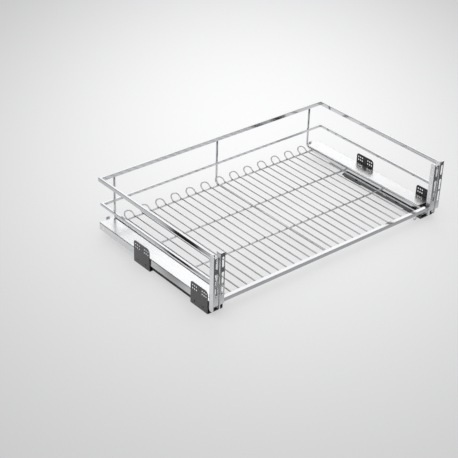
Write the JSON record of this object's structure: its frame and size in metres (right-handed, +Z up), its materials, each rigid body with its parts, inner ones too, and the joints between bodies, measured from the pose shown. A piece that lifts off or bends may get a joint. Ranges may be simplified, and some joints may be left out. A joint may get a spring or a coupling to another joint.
{
  "type": "pull-out cabinet basket",
  "caption": "Chrome wire basket for a base cabinet, on telescopic undermount runners with side plates, slotted front brackets and a looped wire floor.",
  "frame": {"origin": "middle of the overall width and depth, on the surface under the runner feet", "axes": "+X across to the right seen from the front, +Y to the back of the cabinet, +Z up"},
  "size_m": [0.864, 0.524, 0.1882],
  "materials": {
    "chrome_wire": "bright chrome plate",
    "channel_sheet": "bright plated sheet, nearly white in soft light",
    "bracket_steel": "zinc-plated sheet steel",
    "zinc_profile": "satin galvanised steel",
    "bright_profile": "bright rolled steel",
    "dark_profile": "dark grey phosphated steel",
    "dark_plate": "mid grey plated steel",
    "cage_plastic": "moulded acetal",
    "black_plastic": "moulded black nylon"
  },
  "bodies": {
    "cabinet_rails": {"profile_rivets": "zinc_profile", "left_cabinet_profile": "dark_profile", "left_front_side_plate": "dark_plate", "left_rear_side_plate": "dark_plate", "left_damper_housing": "black_plastic", "right_cabinet_profile": "dark_profile", "right_front_side_plate": "dark_plate", "right_rear_side_plate": "dark_plate", "right_damper_housing": "black_plastic"},
    "basket": {"left_top_rail": "chrome_wire", "back_top_rail": "chrome_wire", "right_top_rail": "chrome_wire", "left_mid_rail": "chrome_wire", "back_mid_rail": "chrome_wire", "right_mid_rail": "chrome_wire", "left_post": "chrome_wire", "center_post": "chrome_wire", "right_post": "chrome_wire", "floor_wires": "chrome_wire", "cross_wires": "chrome_wire", "front_bar": "chrome_wire", "wire_hook": "chrome_wire", "left_side_channel": "channel_sheet", "left_basket_angle": "bracket_steel", "left_front_angle": "bracket_steel", "left_bracket_studs": "bracket_steel", "left_bracket_foot": "bracket_steel", "left_drawer_profile": "zinc_profile", "left_rear_hook": "zinc_profile", "left_front_catch": "black_plastic", "left_lever_pin": "zinc_profile", "right_side_channel": "channel_sheet", "right_basket_angle": "bracket_steel", "right_front_angle": "bracket_steel", "right_bracket_studs": "bracket_steel", "right_bracket_foot": "bracket_steel", "right_drawer_profile": "zinc_profile", "right_rear_hook": "zinc_profile", "right_front_catch": "black_plastic", "right_lever_pin": "zinc_profile"},
    "left_middle": {"left_middle_profile": "bright_profile"},
    "left_lower_cage_set": {"left_lower_cage": "cage_plastic", "left_lower_rollers": "bright_profile"},
    "left_upper_cage_set": {"left_upper_cage": "cage_plastic", "left_upper_rollers": "bright_profile"},
    "left_lever": {"left_catch_lever": "black_plastic"},
    "left_wheel": {"left_height_wheel": "black_plastic"},
    "right_middle": {"right_middle_profile": "bright_profile"},
    "right_lower_cage_set": {"right_lower_cage": "cage_plastic", "right_lower_rollers": "bright_profile"},
    "right_upper_cage_set": {"right_upper_cage": "cage_plastic", "right_upper_rollers": "bright_profile"},
    "right_lever": {"right_catch_lever": "black_plastic"},
    "right_wheel": {"right_height_wheel": "black_plastic"}
  },
  "joints": [
    {"name": "basket_slide", "type": "slide", "parent": "cabinet_rails", "child": "basket", "axis": [0, -1, 0], "range_m": [0, 0.45]},
    {"name": "left_middle_slide", "type": "slide", "parent": "cabinet_rails", "child": "left_middle", "axis": [0, -1, 0], "range_m": [0, 0.225]},
    {"name": "left_lower_cage_slide", "type": "slide", "parent": "cabinet_rails", "child": "left_lower_cage_set", "axis": [0, -1, 0], "range_m": [0, 0.1125]},
    {"name": "left_upper_cage_slide", "type": "slide", "parent": "left_middle", "child": "left_upper_cage_set", "axis": [0, -1, 0], "range_m": [0, 0.1125]},
    {"name": "left_lever_hinge", "type": "hinge", "parent": "basket", "child": "left_lever", "pos_m": [-0.3832, -0.211, 0.025], "axis": [0, 0, -1], "range_deg": [0, 15], "stiffness_Nm_per_rad": 0.05},
    {"name": "left_wheel_turn", "type": "hinge", "parent": "basket", "child": "left_wheel", "pos_m": [-0.4145, -0.23, 0.0295], "axis": [0, -1, 0], "range_deg": [0, 270]},
    {"name": "right_middle_slide", "type": "slide", "parent": "cabinet_rails", "child": "right_middle", "axis": [0, -1, 0], "range_m": [0, 0.225]},
    {"name": "right_lower_cage_slide", "type": "slide", "parent": "cabinet_rails", "child": "right_lower_cage_set", "axis": [0, -1, 0], "range_m": [0, 0.1125]},
    {"name": "right_upper_cage_slide", "type": "slide", "parent": "right_middle", "child": "right_upper_cage_set", "axis": [0, -1, 0], "range_m": [0, 0.1125]},
    {"name": "right_lever_hinge", "type": "hinge", "parent": "basket", "child": "right_lever", "pos_m": [0.3832, -0.211, 0.025], "axis": [0, 0, 1], "range_deg": [0, 15], "stiffness_Nm_per_rad": 0.05},
    {"name": "right_wheel_turn", "type": "hinge", "parent": "basket", "child": "right_wheel", "pos_m": [0.4145, -0.23, 0.0295], "axis": [0, -1, 0], "range_deg": [0, 270]}
  ],
  "couplings": [
    {"joint": "left_middle_slide", "follows": "basket_slide", "ratio": 0.5},
    {"joint": "left_lower_cage_slide", "follows": "basket_slide", "ratio": 0.25},
    {"joint": "left_upper_cage_slide", "follows": "basket_slide", "ratio": 0.25},
    {"joint": "right_middle_slide", "follows": "basket_slide", "ratio": 0.5},
    {"joint": "right_lower_cage_slide", "follows": "basket_slide", "ratio": 0.25},
    {"joint": "right_upper_cage_slide", "follows": "basket_slide", "ratio": 0.25}
  ]
}
